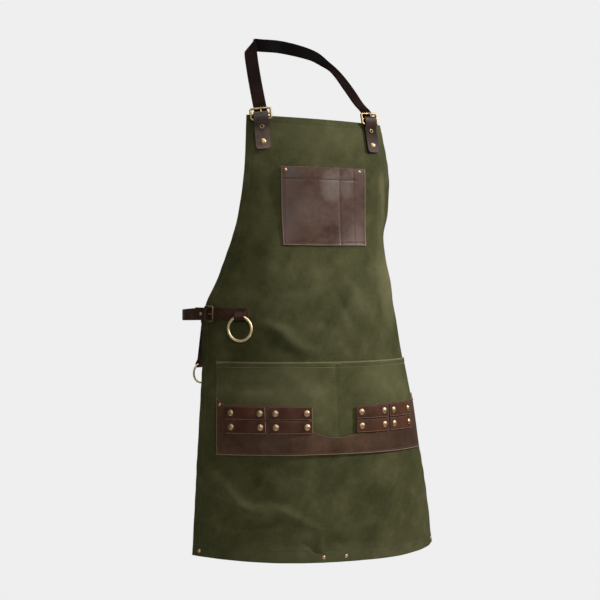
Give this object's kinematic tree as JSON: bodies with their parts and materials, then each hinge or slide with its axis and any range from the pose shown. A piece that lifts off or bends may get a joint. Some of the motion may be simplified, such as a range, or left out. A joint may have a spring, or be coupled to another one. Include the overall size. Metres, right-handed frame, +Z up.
{
  "type": "canvas work apron",
  "caption": "Bib apron of waxed canvas with a leather chest pocket, a wide skirt pocket with riveted leather tool loops, and buckled neck and waist straps with hanging rings.",
  "frame": {"origin": "the nape, under the lower edge of the neck strap, where the worn apron hangs", "axes": "+Z up, the front of the apron faces -Y, +X is to the right as the apron is looked at from the front"},
  "size_m": [0.4784, 0.3444, 0.9642],
  "materials": {
    "canvas": "waxed olive cotton canvas",
    "leather": "dark brown oiled leather",
    "strap": "near-black brown strap leather",
    "brass": "antique brass"
  },
  "bodies": {
    "apron": {"canvas_body": "canvas", "chest_pocket": "leather", "chest_rivet_left": "brass", "chest_rivet_right": "brass", "lower_pocket": "canvas", "pocket_leather": "leather", "pocket_rivet_left": "brass", "pocket_rivet_right": "brass", "strip_left_outer_upper": "leather", "strip_left_outer_upper_rivet_left": "brass", "strip_left_outer_upper_rivet_right": "brass", "strip_left_outer_lower": "leather", "strip_left_outer_lower_rivet_left": "brass", "strip_left_outer_lower_rivet_right": "brass", "strip_left_inner_upper": "leather", "strip_left_inner_upper_rivet_left": "brass", "strip_left_inner_upper_rivet_right": "brass", "strip_left_inner_lower": "leather", "strip_left_inner_lower_rivet_left": "brass", "strip_left_inner_lower_rivet_right": "brass", "strip_right_inner_upper": "leather", "strip_right_inner_upper_rivet_left": "brass", "strip_right_inner_upper_rivet_right": "brass", "strip_right_inner_lower": "leather", "strip_right_inner_lower_rivet_left": "brass", "strip_right_inner_lower_rivet_right": "brass", "strip_right_outer_upper": "leather", "strip_right_outer_upper_rivet_left": "brass", "strip_right_outer_upper_rivet_right": "brass", "strip_right_outer_lower": "leather", "strip_right_outer_lower_rivet_left": "brass", "strip_right_outer_lower_rivet_right": "brass", "hem_rivet_left_corner": "brass", "hem_rivet_left_middle": "brass", "hem_rivet_right_middle": "brass", "hem_rivet_right_corner": "brass", "bib_tab_left": "strap", "bib_rivet_left": "brass", "bib_eyelet_left": "brass", "neck_buckle_left": "brass", "neck_prong_left": "brass", "bib_tab_right": "strap", "bib_rivet_right": "brass", "bib_eyelet_right": "brass", "neck_buckle_right": "brass", "neck_prong_right": "brass", "neck_strap": "strap", "side_strap": "strap", "ring_keeper": "leather", "waist_buckle": "brass", "waist_prong": "brass", "waist_fold": "strap", "waist_fold_rivet": "brass", "waist_strap": "strap", "waist_end_rivet": "brass", "ring_hanger": "strap", "hanger_rivet": "brass"},
    "side_ring": {"side_ring": "brass"},
    "rear_ring": {"rear_ring": "brass"}
  },
  "joints": [
    {"name": "side_ring_swing", "type": "hinge", "parent": "apron", "child": "side_ring", "pos_m": [-0.16233, -0.20605, -0.495], "axis": [-0.775, 0.632, 0], "range_deg": [-3, 150]},
    {"name": "rear_ring_swing", "type": "hinge", "parent": "apron", "child": "rear_ring", "pos_m": [-0.15794, 0.02263, -0.59132], "axis": [0.9018, 0.4322, 0], "range_deg": [-150, 150]}
  ]
}
